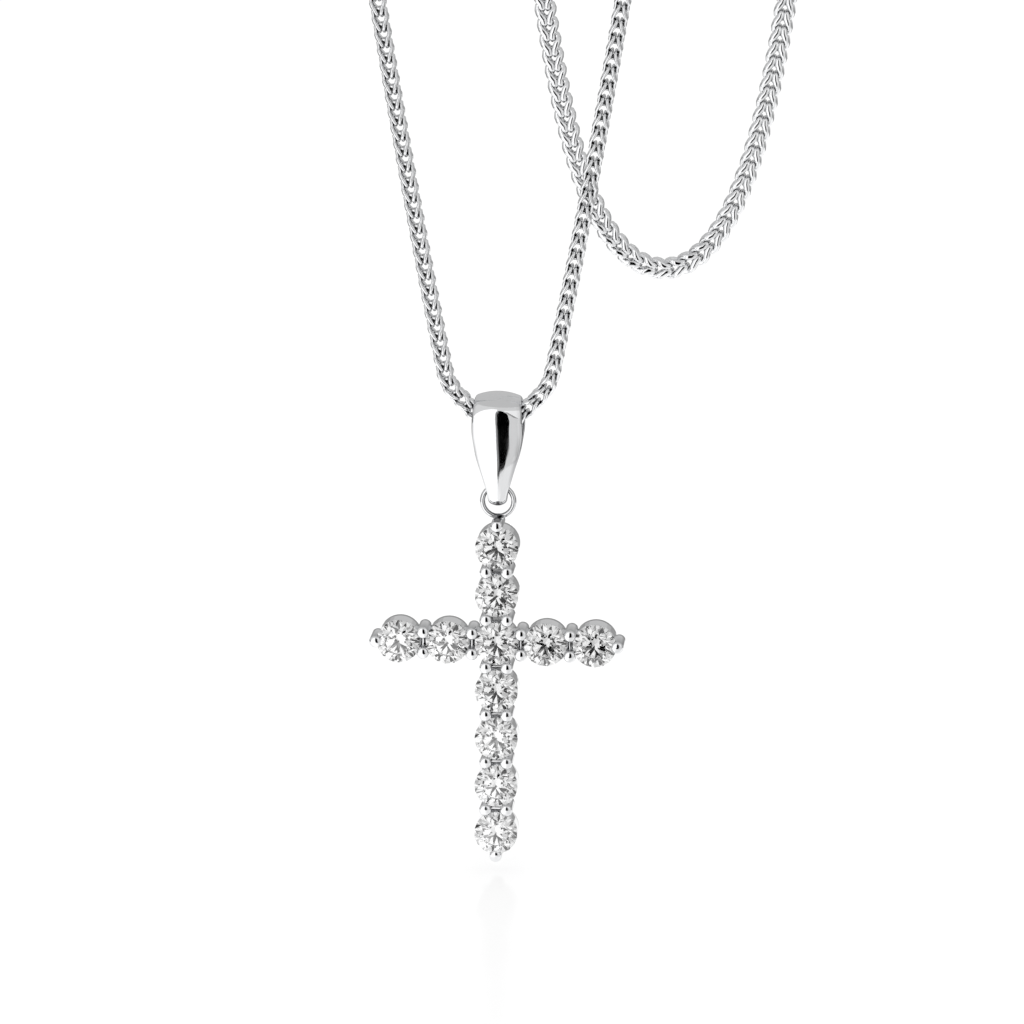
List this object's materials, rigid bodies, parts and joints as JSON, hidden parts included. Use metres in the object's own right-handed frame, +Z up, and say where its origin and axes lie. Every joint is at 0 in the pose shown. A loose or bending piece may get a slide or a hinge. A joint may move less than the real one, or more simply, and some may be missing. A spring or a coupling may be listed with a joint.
{
  "type": "cross pendant on its chain necklace",
  "caption": "White metal cross pendant set with round brilliants, hanging by a ring and tapered bail from a fine linked chain necklace, hung double.",
  "frame": {"origin": "axis of the bar that the necklace is hung over, straight above the pendant", "axes": "+Z up, from the pendant to the bar; +X along the bar, to the right seen from the front; -Y towards the stones' tables"},
  "size_m": [0.037, 0.0112, 0.1343],
  "materials": {
    "chain_metal": "polished white gold wire links",
    "clasp_metal": "polished white gold",
    "bail_metal": "mirror polished white gold",
    "setting_metal": "polished white gold, cast and soldered",
    "diamond": "polished facets"
  },
  "bodies": {
    "chain": {"chain_front": "chain_metal", "chain_back": "chain_metal", "clasp": "clasp_metal"},
    "bail": {"bail": "bail_metal"},
    "cross": {"cross_setting": "setting_metal", "stone_01": "diamond", "stone_02": "diamond", "stone_03": "diamond", "stone_04": "diamond", "stone_05": "diamond", "stone_06": "diamond", "stone_07": "diamond", "stone_08": "diamond", "stone_09": "diamond", "stone_10": "diamond", "stone_11": "diamond"}
  },
  "joints": [
    {"name": "bail_swing", "type": "hinge", "parent": "chain", "child": "bail", "pos_m": [0, -0.00455, -0.1042], "axis": [1, 0, 0], "range_deg": [-40, 40]},
    {"name": "cross_swing", "type": "hinge", "parent": "bail", "child": "cross", "pos_m": [0, -0.00455, -0.10809], "axis": [1, 0, 0], "range_deg": [-30, 30]}
  ]
}
